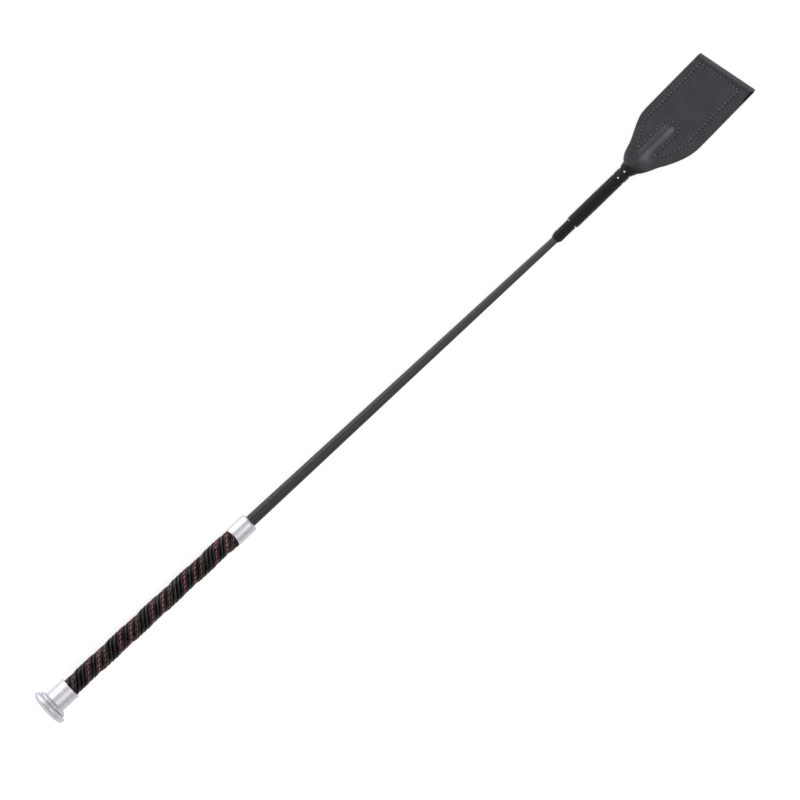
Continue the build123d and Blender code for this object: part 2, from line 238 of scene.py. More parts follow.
# ---------------------------------------------------------------- shader tools
class Value:
    """A shader value that takes part in Python arithmetic; each operator adds one Math node."""

    def __init__(self, finish, socket):
        self.finish = finish
        self.socket = socket

    def math(self, operation, *others):
        node = self.finish.node("ShaderNodeMath", {"operation": operation},
                                **{str(i): other for i, other in enumerate((self,) + others)})
        return Value(self.finish, node.outputs[0])

    def __add__(self, other):
        return self.math("ADD", other)

    def __radd__(self, other):
        return self + other

    def __sub__(self, other):
        return self.math("SUBTRACT", other)

    def __rsub__(self, other):
        return (self * -1) + other

    def __mul__(self, other):
        return self.math("MULTIPLY", other)

    def __rmul__(self, other):
        return self * other

    def __truediv__(self, other):
        return self.math("DIVIDE", other)

    def sine(self):
        return self.math("SINE")

    def above(self, edge):
        return self.math("GREATER_THAN", edge)

    def clamp(self, low=0.0, high=1.0):
        return self.math("MAXIMUM", low).math("MINIMUM", high)


class Finish:
    """One material: a Principled shader and the nodes that feed it."""

    def __init__(self, name, **fixed):
        self.material = bpy.data.materials.new(name)
        self.material.use_nodes = True
        self.tree = self.material.node_tree
        self.shader = self.tree.nodes["Principled BSDF"]
        for socket, value in fixed.items():
            self.shader.inputs[socket.replace("_", " ")].default_value = value

    def node(self, kind, settings=None, **inputs):
        """A node of that kind: its settings first, then values or links for its sockets. A socket
        is named by its label with _ for a space, or by its number."""
        node = self.tree.nodes.new(kind)
        for key, value in (settings or {}).items():
            if key == "stops":
                self.set_stops(node.color_ramp, value)
            else:
                setattr(node, key, value)
        for key, value in inputs.items():
            socket = node.inputs[int(key)] if key.isdigit() else node.inputs[key.replace("_", " ")]
            if isinstance(value, Value):
                value = value.socket
            if isinstance(value, bpy.types.NodeSocket):
                self.tree.links.new(value, socket)
            else:
                socket.default_value = value
        return node

    @staticmethod
    def set_stops(ramp, stops):
        while len(ramp.elements) < len(stops):
            ramp.elements.new(0.5)
        for element, (position, colour) in zip(ramp.elements, stops):
            element.position = position
            element.color = colour

    def coordinate(self, name):
        """Object or UV coordinates, as a vector socket."""
        return self.node("ShaderNodeTexCoord").outputs[name]

    def split(self, vector):
        parts = self.node("ShaderNodeSeparateXYZ", **{"0": vector})
        return [Value(self, socket) for socket in parts.outputs]

    def joined(self, x, y, z):
        return self.node("ShaderNodeCombineXYZ", **{"0": x, "1": y, "2": z}).outputs[0]

    def noise(self, vector, scale, detail=3.0, roughness=0.5):
        made = self.node("ShaderNodeTexNoise", Vector=vector, Scale=scale, Detail=detail, Roughness=roughness)
        return Value(self, made.outputs["Fac"])

    def cells(self, vector, scale, feature="F1"):
        made = self.node("ShaderNodeTexVoronoi", {"feature": feature}, Vector=vector, Scale=scale)
        return Value(self, made.outputs["Distance"])

    def mix(self, factor, first, second):
        """first where factor is 0 and second where it is 1, as a colour."""
        made = self.node("ShaderNodeMix", {"data_type": "RGBA"}, **{"0": factor, "6": first, "7": second})
        return made.outputs[2]

    def ramp(self, value, stops):
        return self.node("ShaderNodeValToRGB", {"stops": stops}, Fac=value).outputs["Color"]

    def set(self, socket, value):
        if isinstance(value, Value):
            value = value.socket
        self.tree.links.new(value, self.shader.inputs[socket])

    def bump(self, height, distance, strength=1.0):
        made = self.node("ShaderNodeBump", Height=height, Distance=distance, Strength=strength)
        self.set("Normal", made.outputs["Normal"])


def grey(level, alpha=1.0):
    return (level, level, level, alpha)


# ---------------------------------------------------------------- finishes
def turned_aluminium():
    """Satin aluminium, turned on a lathe: fine rings along X and faint handling marks."""
    finish = Finish("turned_aluminium", Metallic=1.0, Specular_Tint=(0.62, 0.60, 0.66, 1))
    place = finish.coordinate("Object")
    x, y, z = finish.split(place)
    rings = finish.noise(finish.joined(x * 9000, y * 40, z * 40), 1.0, 2.0)
    smears = finish.noise(place, 260.0, 4.0, 0.6)
    dull, bright = (0.61, 0.59, 0.635, 1), (0.70, 0.68, 0.73, 1)
    finish.set("Base Color", finish.ramp(smears * 0.6 + rings * 0.4, [(0.3, dull), (0.7, bright)]))
    finish.set("Roughness", smears * 0.14 + rings * 0.06 + 0.40)
    finish.bump(rings * 0.8 + smears * 0.2, 0.02 * MM, 0.3)
    return finish.material


def cord_leather():
    """Black waxed cord: fine ridges and creases along it that break up its shine, and pores."""
    finish = Finish("cord_leather", Coat_Roughness=0.24, Specular_IOR_Level=0.12)
    along, around, _ = finish.split(finish.coordinate("UV"))
    place = finish.coordinate("Object")
    creases = finish.noise(finish.joined(along * 300, around * 11, 0.0), 1.0, 3.0, 0.6)
    strands = finish.noise(finish.joined(along * 70, around * 30, 3.0), 1.0, 2.0, 0.7)
    pores = finish.noise(place, 2600.0, 2.0, 0.6)
    patches = finish.noise(place, 170.0, 3.0, 0.5)
    tone = creases * 0.3 + patches * 0.3 + strands * 0.4
    black, charcoal = (0.0006, 0.0004, 0.0004, 1), (0.013, 0.0100, 0.0120, 1)
    finish.set("Base Color", finish.ramp(tone, [(0.44, black), (0.66, charcoal)]))
    finish.set("Roughness", patches * 0.30 + strands * 0.30 + 0.10)
    finish.set("Coat Weight", (strands * 5.0 + patches * 2.0 - 3.2).clamp())
    finish.bump(creases * 0.35 + strands * 0.5 + pores * 0.15, 0.22 * MM, 0.9)
    return finish.material


def twisted_thread(name, bright, deep):
    """Twisted thread: one ply coloured and one nearly black, told apart by V, with fine fibres."""
    finish = Finish(name, Sheen_Weight=0.12, Sheen_Roughness=0.4, Specular_IOR_Level=0.35)
    _, ply, _ = finish.split(finish.coordinate("UV"))
    place = finish.coordinate("Object")
    fibres = finish.noise(place, 3800.0, 3.0, 0.6)
    paleness = finish.noise(place, 420.0, 3.0, 0.6)
    coloured = finish.mix(((paleness * 0.6 + fibres * 0.4) * 2.2 - 0.6).clamp(), deep, bright)
    finish.set("Base Color", finish.mix(ply.above(1.0), coloured, (0.020, 0.003, 0.005, 1)))
    finish.set("Roughness", paleness * 0.2 + 0.40)
    finish.bump(fibres, 0.06 * MM, 0.6)
    return finish.material


def shaft_plastic():
    """Smooth dark sleeve: bluish black, painted paler towards the tip as a pool of painted light, low sheen,
    a faint long grain and small scuffs."""
    finish = Finish("shaft_plastic", Specular_IOR_Level=0.40, Coat_Roughness=0.35)
    place = finish.coordinate("Object")
    x, y, z = finish.split(place)
    drawn = finish.noise(finish.joined(x * 60, y * 2200, z * 2200), 1.0, 3.0, 0.6)
    scuffs = finish.noise(finish.joined(x * 300, y * 600, z * 600), 1.0, 4.0, 0.65)
    deep, scuffed = (0.0105, 0.0095, 0.0130, 1), (0.0210, 0.0190, 0.0255, 1)
    pale = (0.0400, 0.0370, 0.0450, 1)
    sleeve = finish.ramp(scuffs * 0.6 + drawn * 0.4, [(0.25, deep), (0.75, scuffed)])
    # Painted light: the sleeve's colour turns paler towards the tip.
    painted_tip_light = ((x - FERRULE_END) / BARE_SHAFT).clamp() * 0.8
    finish.set("Base Color", finish.mix(painted_tip_light, sleeve, pale))
    finish.set("Roughness", scuffs * 0.2 + 0.40)
    finish.set("Coat Weight", drawn * 0.12)
    finish.bump(drawn * 0.5 + scuffs * 0.5, 0.02 * MM, 0.5)
    return finish.material


def waxed_thread(name, dark, light, twists_per_metre, shine=0.22):
    """Waxed thread: its twist as slanting ridges along it, with loose fibres and wax patches. Where V
    is above 1.5 it is black instead, for the shadow inside a stitch's hole."""
    finish = Finish(name, Sheen_Weight=0.04, Sheen_Roughness=0.5, Specular_IOR_Level=shine)
    along, around, _ = finish.split(finish.coordinate("UV"))
    place = finish.coordinate("Object")
    twist = ((along * twists_per_metre + around) * (2 * math.pi)).sine() * 0.5 + 0.5
    fibres = finish.noise(place, 4200.0, 2.0, 0.6)
    patches = finish.noise(place, 420.0, 3.0, 0.65)
    thread = finish.mix((twist * 0.3 + fibres * 0.3 + patches * 1.3 - 0.5).clamp(), dark, light)
    finish.set("Base Color", finish.mix(around.above(1.5), thread, grey(0.001)))
    finish.set("Roughness", patches * 0.3 + 0.34)
    finish.bump(twist * 0.6 + fibres * 0.4, 0.10 * MM, 0.6)
    return finish.material


def clear_lacquer():
    """Hard bead of lacquer, slightly uneven, coloured near white as a painted glint."""
    finish = Finish("clear_lacquer", Coat_Roughness=0.03, Coat_IOR=1.5)
    place = finish.coordinate("Object")
    cloud = finish.noise(place, 1500.0, 2.0, 0.5)
    # Near-white base colour: a painted glint.
    finish.set("Base Color", finish.mix(cloud, (0.72, 0.70, 0.72, 1), (0.98, 0.98, 0.98, 1)))
    finish.set("Roughness", cloud * 0.1 + 0.05)
    finish.set("Coat Weight", cloud * 0.2 + 0.8)
    finish.bump(cloud, 0.02 * MM, 0.3)
    return finish.material


def flap_leather():
    """Charcoal leather: fine pebbled grain and soft shading in large patches. It is paler where U says so, as
    a painted highlight. It is near black where V says so: painted shade along the seam, in the dip before the
    fold, in the crease behind the winding and on the inner face, and darkening along the cut edges."""
    finish = Finish("flap_leather", Specular_IOR_Level=0.35, Sheen_Weight=0.05, Sheen_Roughness=0.5)
    place = finish.coordinate("Object")
    painted_highlight, shade, _ = finish.split(finish.coordinate("UV"))
    pebbles = finish.cells(place, 1500.0)
    creases = finish.cells(place, 1300.0, "DISTANCE_TO_EDGE")
    fine = finish.noise(place, 1900.0, 3.0, 0.7)
    patches = finish.noise(place, 95.0, 4.0, 0.55)
    tone = (patches * 0.30 + fine * 0.45 + pebbles * 0.25).clamp()
    pit, grain_top = (0.0150, 0.0132, 0.0168, 1), (0.0480, 0.0435, 0.0520, 1)
    painted_highlight_colour, painted_shade_and_edge_black = (0.150, 0.138, 0.160, 1), (0.0030, 0.0028, 0.0030, 1)
    grain = finish.ramp(tone, [(0.36, pit), (0.64, grain_top)])
    # Painted highlight: a paler colour mixed in where U says so.
    grain = finish.mix((painted_highlight * (tone + 0.5)).clamp(), grain, painted_highlight_colour)
    # Painted shade: near black where V says so, and along the cut edges.
    finish.set("Base Color", finish.mix(shade.clamp(), grain, painted_shade_and_edge_black))
    finish.set("Roughness", patches * 0.16 + fine * 0.08 + 0.42)
    finish.bump((creases * 2.5).clamp() * 0.6 + pebbles * 0.25 + fine * 0.15, 0.14 * MM, 0.9)
    return finish.material


def hidden_resin():
    """Pultruded glass fibre rod: pale, with long fibres."""
    finish = Finish("hidden_resin")
    x, y, z = finish.split(finish.coordinate("Object"))
    fibres = finish.noise(finish.joined(x * 25, y * 2500, z * 2500), 1.0, 3.0)
    finish.set("Base Color", finish.mix(fibres, (0.48, 0.47, 0.40, 1), (0.66, 0.65, 0.58, 1)))
    finish.set("Roughness", fibres * 0.2 + 0.25)
    finish.bump(fibres, 0.02 * MM, 0.4)
    return finish.material


def hidden_tube():
    """Extruded black tube under the grip, with faint draw lines."""
    finish = Finish("hidden_tube")
    x, y, z = finish.split(finish.coordinate("Object"))
    lines = finish.noise(finish.joined(x * 30, y * 1500, z * 1500), 1.0, 2.0)
    finish.set("Base Color", finish.mix(lines, grey(0.012), grey(0.03)))
    finish.set("Roughness", lines * 0.2 + 0.45)
    finish.bump(lines, 0.02 * MM, 0.4)
    return finish.material


aluminium = turned_aluminium()
cord_finish = cord_leather()
cover_finish = shaft_plastic()
winding_finish = waxed_thread("winding_thread", grey(0.0020), (0.021, 0.0185, 0.020, 1), 900.0)
seam_finish = waxed_thread("seam_thread", (0.06, 0.056, 0.062, 1), (0.34, 0.325, 0.345, 1), 1100.0, 0.4)
lacquer = clear_lacquer()
leather = flap_leather()

for node, material in (("core_rod", hidden_resin()), ("handle_tube", hidden_tube())):
    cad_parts[node].data.materials.clear()
    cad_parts[node].data.materials.append(material)


# ---------------------------------------------------------------- pommel, ferrule and cover
def pommel():
    """Turned cap: a smooth dome out to the rim, a groove, a second ring that flows into the neck,
    and the bore, as one closed profile turned about the axis."""
    dome = catmull([(0.0, 6.0), (0.25, 8.6), (0.85, 11.0), (1.75, 12.8), (2.45, 13.42), (2.85, 13.5),
                    (3.35, 13.72), (3.9, 13.72), (4.5, 13.55), (5.15, 12.85), (5.45, 11.9)], 6)
    collar = catmull([(5.62, 10.85), (5.95, 11.05), (6.55, 11.4), (7.1, 11.3), (7.7, 10.6),
                      (8.25, 9.55), (8.65, 8.7), (9.0, 8.25), (9.5, 8.15)], 6)
    neck = rounded([(9.5, 8.15), (23.6, 8.15), (23.6, 7.35), (21.6, 7.35), (21.6, 4.25), (9.9, 4.25),
                    (9.9, 0.4)], 0.25)
    profile = np.vstack([[(0.0, 0.4), (0.0, 2.0), (0.0, 4.0)], dome, collar, neck[1:]]) * MM
    points, faces, uvs = lathe(profile, 144, closed=False)
    return make_piece("pommel_cap_turned", points, faces, uvs, aluminium)


def mouth_dip(z):
    """How far the ferrule's mouth lies back at height z: the dip times (z / radius) squared."""
    return MOUTH_DIP * (z / FERRULE_RADIUS) ** 2


def ferrule():
    """Turned collar: straight outside, an evenly rounded edge towards the shaft, an open bore, and a
    mouth that is curved back by mouth_dip, as one closed profile turned about the axis."""
    start, end, round_off = FERRULE_START, FERRULE_END, 1.9 * MM
    at_end, at_cover = 4.38 * MM, 4.46 * MM
    turn = np.linspace(0, np.pi / 2, 12)[:, None]
    far = np.hstack([end - round_off + round_off * np.sin(turn),
                     FERRULE_RADIUS - round_off + round_off * np.cos(turn)])
    near = rounded([(end, at_end), (COVER_START, at_cover), (start, TUBE_RADIUS + FIT),
                    (start, FERRULE_RADIUS), (end - round_off, FERRULE_RADIUS)], 0.3 * MM)
    points, faces, uvs = lathe(np.vstack([far, near[:-1]]), 128)
    points[:, 0] += mouth_dip(points[:, 2]) * (1 - smoothstep(points[:, 0], start, COVER_START))
    return make_piece("ferrule_turned", points, faces, uvs, aluminium)


def cover():
    """Sleeve over the rod: outer radius falls evenly between its stations, the bore follows inside."""
    stations = [COVER_START, TIP_START, ROD_END]
    slope = (4.3 - 2.65) * MM / BARE_SHAFT
    outside = [4.3 * MM + slope * (FERRULE_END - COVER_START), 2.65 * MM, 2.0 * MM]
    inside = [3.05 * MM, 1.70 * MM, 1.25 * MM]
    x = np.concatenate([np.linspace(stations[0], TIP_START - 3 * MM, 60),
                        np.linspace(TIP_START - 2 * MM, TIP_START + 2 * MM, 9),
                        np.linspace(TIP_START + 3 * MM, ROD_END, 30)])
    outer = np.stack([x, np.interp(x, stations, outside)], axis=1)
    inner = np.stack([x, np.interp(x, stations, inside)], axis=1)[::-1]
    points, faces, uvs = lathe(np.vstack([outer, inner]), 64)
    return make_piece("shaft_cover_sleeve", on_tip(points), faces, uvs, cover_finish)


# ---------------------------------------------------------------- grip
CORD_GROUPS = [(3, 2.20, 3.10), (2, 1.95, 2.75), (4, 2.55, 3.50)]     # cords, diameter, pitch, in mm
THREAD_SHARE = 0.4
WRAP_LEAD = sum(count * pitch + THREAD_SHARE for count, diameter, pitch in CORD_GROUPS)
WRAP_ANGLE = math.radians(317.4)                                      # first thread, where the grip starts
CORD_BED = 4.25


def wrapped_path(place, centre_radius, steps):
    """Left-hand helix about the rod, `place` mm along the lead, and its outward directions:
    the angle falls by a full turn in one lead."""
    x = np.linspace(GRIP_START, GRIP_END + MOUTH_DIP, steps)
    angle = WRAP_ANGLE + 2 * np.pi * place / WRAP_LEAD - 2 * np.pi * (x - GRIP_START) / (WRAP_LEAD * MM)
    outward = np.stack([0 * x, np.cos(angle), np.sin(angle)], axis=1)
    centre = np.broadcast_to(np.asarray(centre_radius, float), (steps,)) * MM
    return outward * centre[:, None] + np.stack([x, 0 * x, 0 * x], axis=1), outward


def grip_cord(number, place, diameter):
    """A round cord laid along the helix, its radius varying by a few hundredths of a millimetre,
    and trimmed where it meets the neck and the ferrule's mouth."""
    steps = 360
    t = np.linspace(0, 1, steps)
    seed = np.random.default_rng(number)
    phase = seed.uniform(0, 2 * np.pi, 3)
    wander = 0.03 * np.sin(61 * t + phase[0]) + 0.02 * np.sin(143 * t + phase[1])
    path, outward = wrapped_path(place, CORD_BED + diameter / 2 + wander, steps)
    swell = 1 + 0.018 * np.sin(97 * t + phase[2])
    rings = round_rings(path, outward, diameter / 2 * MM * swell, 16)
    rings[..., 0] = np.clip(rings[..., 0], GRIP_START, GRIP_END + mouth_dip(rings[..., 2]))
    points, faces, uvs = capped_tube(rings)
    return make_piece(f"grip_cord_{number}_laid", points, faces, uvs, cord_finish)


def grip_thread(number, place, centre_radius, material):
    """Two plies twisted round each other along the helix, the coloured one the thicker. V is 0 to 1
    on the coloured ply and 2 to 3 on the dark one."""
    steps = 2400
    ply_radius, twist_pitch = 0.27, 3.3
    path, outward = wrapped_path(place, centre_radius, steps)
    direction = np.gradient(path, axis=0)
    direction /= np.linalg.norm(direction, axis=1)[:, None]
    across = np.cross(direction, outward)
    length = np.concatenate([[0], np.cumsum(np.linalg.norm(np.diff(path, axis=0), axis=1))])
    parts = []
    for ply in range(2):
        turn = 2 * np.pi * length / (twist_pitch * MM) + np.pi * ply
        side = np.cos(turn)[:, None] * outward + np.sin(turn)[:, None] * across
        rings = round_rings(path + ply_radius * MM * side, side, (1.22, 0.98)[ply] * ply_radius * MM, 8)
        points, faces, uvs = capped_tube(rings)
        uvs[..., 1] += 2 * ply
        parts.append((points, faces, uvs))
    points, faces, uvs = join_parts(parts)
    points[:, 0] = np.clip(points[:, 0], GRIP_START, GRIP_END + mouth_dip(points[:, 2]))
    return make_piece(f"grip_thread_{number}_twisted", points, faces, uvs, material)


THREAD_COLOURS = [("magenta_thread", (0.70, 0.13, 0.22, 1), (0.30, 0.008, 0.05, 1)),
                  ("scarlet_thread", (0.80, 0.26, 0.24, 1), (0.30, 0.010, 0.008, 1)),
                  ("russet_thread", (0.32, 0.15, 0.15, 1), (0.12, 0.022, 0.026, 1))]


def grip():
    """The three threads and nine cords, each group of cords after its thread."""
    pieces = []
    place, number, before = 0.0, 0, CORD_GROUPS[-1][1]
    for group, ((count, diameter, pitch), colours) in enumerate(zip(CORD_GROUPS, THREAD_COLOURS), start=1):
        centre_radius = CORD_BED + (diameter + before) / 2 - 0.45
        pieces.append(grip_thread(group, place, centre_radius, twisted_thread(*colours)))
        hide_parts(f"grip_thread_{group}")
        place += (pitch + THREAD_SHARE) / 2
        for each in range(count):
            number += 1
            pieces.append(grip_cord(number, place, diameter))
            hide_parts(f"grip_cord_{number}")
            place += pitch
        place += (THREAD_SHARE - pitch) / 2
        before = diameter
    return pieces


# ---------------------------------------------------------------- whipping
WINDING_PITCH = 0.86 * MM
WINDING_THREAD = 0.46 * MM                # radius


def winding(name, start, end, half_width, half_height, spare=-0.15 * MM, slant=0.0, shift=0.0):
    """One layer of thread wound tightly on an oval bed: a right-hand helix whose half width and half
    height are functions of the distance along it, over a rippled bed that closes it and runs past
    both ends by spare. Towards its end it slants by the slope `slant` and moves sideways by shift."""
    length = end - start - 2 * WINDING_THREAD
    turns = length / WINDING_PITCH
    steps = int(turns * 44)
    t = np.linspace(0, 1, steps)
    angle = 2 * np.pi * turns * t
    along = t * length
    x = start + WINDING_THREAD + along
    wide, high = half_width(along) - WINDING_THREAD, half_height(along) - WINDING_THREAD
    seed = np.random.default_rng(len(name) * 7 + steps)
    full_turns = np.arange(0, angle[-1] + 7, 2 * np.pi)
    uneven = np.interp(angle, full_turns, seed.normal(0, 0.025 * MM, int(turns) + 3)[:len(full_turns)])
    path = np.stack([x, (wide + uneven) * np.cos(angle), (high + uneven) * np.sin(angle)], axis=1)
    outward = np.stack([0 * x, np.cos(angle), np.sin(angle)], axis=1)
    thread = capped_tube(round_rings(path, outward, WINDING_THREAD, 8, flat=0.92))
    bed_x = np.linspace(start - spare, end + spare, 70)
    bed_along = np.clip(bed_x - start - WINDING_THREAD, 0, along[-1])
    side = 2 * np.pi * np.arange(40) / 40
    ripple = 0.09 * MM * (3.5 if spare > 0 else 1) * np.abs(np.sin(np.pi * (bed_x - start) / (0.55 * MM)))
    sunk = ripple - 1.35 * WINDING_THREAD
    bed_wide = (half_width(bed_along) + sunk)[:, None]
    bed_high = (half_height(bed_along) + sunk)[:, None]
    bed = np.stack([bed_x[:, None] + 0 * side, bed_wide * np.cos(side), bed_high * np.sin(side)], axis=2)
    points, faces, uvs = join_parts([thread, capped_tube(bed)])
    late = smoothstep(points[:, 0], start, end)
    points[:, 1] -= shift * late
    points[:, 0] -= slant * points[:, 1] * late
    return make_piece(name, on_tip(points), faces, uvs, winding_finish)


def whipping():
    """The four windings. The base starts rounded, the main one swells slightly in its middle."""
    def base(along):
        start = 0.9 * MM * (1 - smoothstep(along, 0, 2.2 * MM))
        return 4.15 * MM - start - 0.25 * MM * smoothstep(along, 15 * MM, 17 * MM)

    def main(along):
        return (4.72 + 0.14 * smoothstep(along, 0, 2 * MM)) * MM + 0.06 * MM * np.sin(along / (14 * MM))

    def ring(along):
        return 5.0 * MM + 0 * along

    def throat_width(along):
        return (5.35 + 1.25 * smoothstep(along, 0, 4 * MM)) * MM

    def throat_height(along):
        return (5.3 - 0.45 * smoothstep(along, 0, 4 * MM)) * MM

    made = [("whipping_base", TIP_START, BASE_END, base, base, {}),
            ("whipping_main", MAIN_START, MAIN_END, main, main, {}),
            ("whipping_ring", RING_START, RING_END, ring, ring, {"spare": GROOVE}),
            ("whipping_throat", THROAT_START, THROAT_END, throat_width, throat_height,
             {"slant": math.tan(math.radians(13)), "shift": 0.7 * MM})]
    pieces = []
    for node, start, end, half_width, half_height, lie in made:
        pieces.append(winding(f"{node}_wound", start, end, half_width, half_height, **lie))
        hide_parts(node)
    return pieces


def seals():
    """Two drops of lacquer in the grooves, near white as painted glints: balls with a small two-lobed
    swelling.
    """
    parts = []
    around = np.linspace(0, 2 * np.pi, 24, endpoint=False)
    down = np.linspace(0.12, np.pi - 0.12, 14)
    side = math.radians(84)
    out = 4.7 * MM
    radius = 0.58 * MM * (1 + 0.08 * np.cos(2 * around))[None, :, None]
    ring = np.sin(down)[:, None]
    shape = np.stack([ring * np.cos(around), ring * np.sin(around) * 1.25,
                      np.cos(down)[:, None] + 0 * around], axis=2)
    for groove in (MAIN_END + GROOVE / 2, RING_END + GROOVE / 2):
        place = np.array([groove, out * math.cos(side), out * math.sin(side)])
        parts.append(capped_tube(shape * radius + place))
    points, faces, uvs = join_parts(parts)
    return make_piece("whipping_seals_lacquer", on_tip(points), faces, uvs, lacquer)


# ---------------------------------------------------------------- flap
LEATHER = 1.6 * MM
LAYER_GAP = 0.05 * MM                     # each layer's inner face above the middle plane
FLAP_LEFT, FLAP_RIGHT = 21.0 * MM, 24.7 * MM
FLAP_REACH = 93.5 * MM
BEND_REACH = 48.0 * MM
FOLD_SKEW = math.radians(10.6)
FOLD_RADIUS = 1.7 * MM                    # middle of the leather round the open loop
LOOP_LENGTH = 5.8 * MM
KEEL_HALF, KEEL_END = 5.2 * MM, 41.6 * MM
KEEL_RISE = 2.0 * MM
SEAM_LEFT, SEAM_RIGHT = FLAP_LEFT - 5.35 * MM, -(FLAP_RIGHT - 8.5 * MM)
SEAM_INSET_FOLD = 6.5 * MM
SEAM_START_LEFT, SEAM_START_RIGHT = 12.4 * MM, 14.4 * MM
STITCH_PITCH = 2.8 * MM

# the flap's outline: distances from its mouth, and the half widths there towards +Y and -Y
EDGE_ALONG = np.array([-3.0, -1.0, 0.3, 3.4, 7.8, 12.3, 17.5, 23.6, 29.5,
                       33.5, 38.0, 42.0, 47.0, 54.0, 65.0, 90.0, 120.0]) * MM
EDGE_LEFT = np.array([5.6, 6.1, 7.5, 9.6, 11.2, 12.6, 15.0, 17.9, 20.15,
                      20.8, 21.0, 21.0, 21.0, 21.0, 21.0, 20.95, 20.9]) * MM
EDGE_RIGHT = np.array([5.6, 6.2, 7.6, 9.7, 12.0, 14.0, 17.0, 20.0, 22.4,
                       23.6, 24.45, 24.75, 24.8, 24.8, 24.75, 24.7, 24.7]) * MM


def edge(u, table):
    """Half width of the flap at u: a smooth line through the table's points."""
    line = catmull(np.stack([EDGE_ALONG, table], axis=1), 12)
    return np.interp(u, line[:, 0], line[:, 1])


def seam_line():
    """The seam's closed path in the flap's plan, evenly spaced by one stitch, as points and directions."""
    keel_side = KEEL_HALF + 0.6 * MM
    lean = math.tan(FLAP_LEAN)
    skew = math.tan(math.radians(8.6))
    far = FLAP_REACH - SEAM_INSET_FOLD
    tip = KEEL_END + 1.0 * MM

    def keel_point(u, side):
        return (u, side * keel_side - u * lean)

    corners = [keel_point(SEAM_START_LEFT, 1), (20.0 * MM, 11.0 * MM), (29.6 * MM, SEAM_LEFT),
               (far - SEAM_LEFT * skew, SEAM_LEFT), (far - SEAM_RIGHT * skew, SEAM_RIGHT),
               (35.0 * MM, SEAM_RIGHT), (24.9 * MM, -13.5 * MM), (17.5 * MM, -8.7 * MM),
               keel_point(SEAM_START_RIGHT, -1), keel_point(tip, -1), keel_point(tip, 1)]
    reach = np.array([0.1, 3.0, 1.5, 0.8, 0.8, 6.0, 4.0, 2.0, 0.1, 5.6, 5.6]) * MM
    line = rounded(corners, reach, 9, closed=True)
    line = np.vstack([line, line[:1]])
    length = np.concatenate([[0], np.cumsum(np.linalg.norm(np.diff(line, axis=0), axis=1))])
    count = int(round(length[-1] / STITCH_PITCH))
    middle = (np.arange(count) + 0.5) / count * length[-1]
    place = np.stack([np.interp(middle, length, line[:, i]) for i in range(2)], axis=1)
    ahead = np.stack([np.interp(middle + 0.2 * MM, length, line[:, i]) for i in range(2)], axis=1)
    direction = ahead - place
    return line, place, direction / np.linalg.norm(direction, axis=1)[:, None]


SEAM, STITCHES, STITCH_DIRECTIONS = seam_line()


def seam_distance(u, v):
    """Distance from each (u, v) to the nearest point of the seam's line."""
    dense = np.vstack([SEAM[:-1] + (SEAM[1:] - SEAM[:-1]) * t for t in np.linspace(0, 1, 6)[:-1, None, None]])
    dense = dense.reshape(-1, 2)
    near = np.full(u.shape, 1.0)
    for first in range(0, len(dense), 64):
        block = dense[first:first + 64]
        gap = np.hypot(u[..., None] - block[:, 0], v[..., None] - block[:, 1])
        near = np.minimum(near, gap.min(axis=-1))
    return near


def keel_rise(u, v):
    """Swelling over the rod's tip: height (1 - (d / half)^2)^1.6 of the distance d from the rod's line,
    where past the last half width d is measured from a point, so that the end is round."""
    beyond = np.maximum(u - (KEEL_END - KEEL_HALF), 0)
    distance = np.hypot(v + u * math.tan(FLAP_LEAN), beyond)
    inside = np.clip(1 - (distance / KEEL_HALF) ** 2, 0, 1)
    return KEEL_RISE * inside ** 1.6


def flap_height(u, v, side):
    """Height of the outer face above the flap's middle plane. Plate: gap plus leather. Near the mouth it
    turns into an oval dome. The keel and a slight padding inside the seam are added, a groove is pressed
    along the seam, and the last half millimetre before each cut edge is pressed down, as burnishing does."""
    left, right = edge(u, EDGE_LEFT), edge(u, EDGE_RIGHT)
    across = np.where(v > 0, v / left, -v / right)
    plate = LAYER_GAP + LEATHER + keel_rise(u, v)
    dome = 1.25 * MM + 2.6 * MM * np.sqrt(np.clip(1 - across ** 2, 0, 1))
    near_mouth = 1 - smoothstep(u, 0.5 * MM, 15 * MM)
    height = plate * (1 - near_mouth) + dome * near_mouth
    gap = seam_distance(u, v)
    height = height - 0.28 * MM * np.exp(-(gap / (0.75 * MM)) ** 2) * smoothstep(u, 8 * MM, 14 * MM)
    height = height + 0.10 * MM * np.exp(-((gap - 2.6 * MM) / (1.4 * MM)) ** 2)
    wave = 0.10 * MM * np.sin(u * 95 + side) * np.sin(v * 130 + 0.7 * side) * smoothstep(u, 30 * MM, 60 * MM)
    edge_distance = np.minimum(left - v, right + v)
    return height + wave - 0.35 * MM * np.exp(-(edge_distance / (0.35 * MM)) ** 2)


def strip_line(steps_flat, steps_loop):
    """The folded strip seen from its side, front layer first: distances u from the mouth, heights z of
    the leather's middle, and its outward directions. Flat, then rising by a smooth step to the open
    loop, then half a turn of FOLD_RADIUS, then the same back."""
    middle = LAYER_GAP + LEATHER / 2
    centre = FLAP_REACH - FOLD_RADIUS - LEATHER / 2
    flat = np.linspace(-3 * MM, FLAP_REACH - LOOP_LENGTH, steps_flat)[:-1]
    rise = np.linspace(FLAP_REACH - LOOP_LENGTH, centre, 9)[:-1]
    turn = np.linspace(np.pi / 2, -np.pi / 2, steps_loop)
    rise_z = middle + (FOLD_RADIUS - middle) * smoothstep(rise, FLAP_REACH - LOOP_LENGTH, centre)
    u = np.concatenate([flat, rise, centre + FOLD_RADIUS * np.cos(turn), rise[::-1], flat[::-1]])
    flat_z = flat * 0 + middle
    z = np.concatenate([flat_z, rise_z, FOLD_RADIUS * np.sin(turn), -rise_z[::-1], -flat_z])
    direction = np.stack([np.gradient(u), np.gradient(z)], axis=1)
    direction /= np.linalg.norm(direction, axis=1)[:, None]
    outward = np.stack([-direction[:, 1], direction[:, 0]], axis=1)
    return u, z, outward


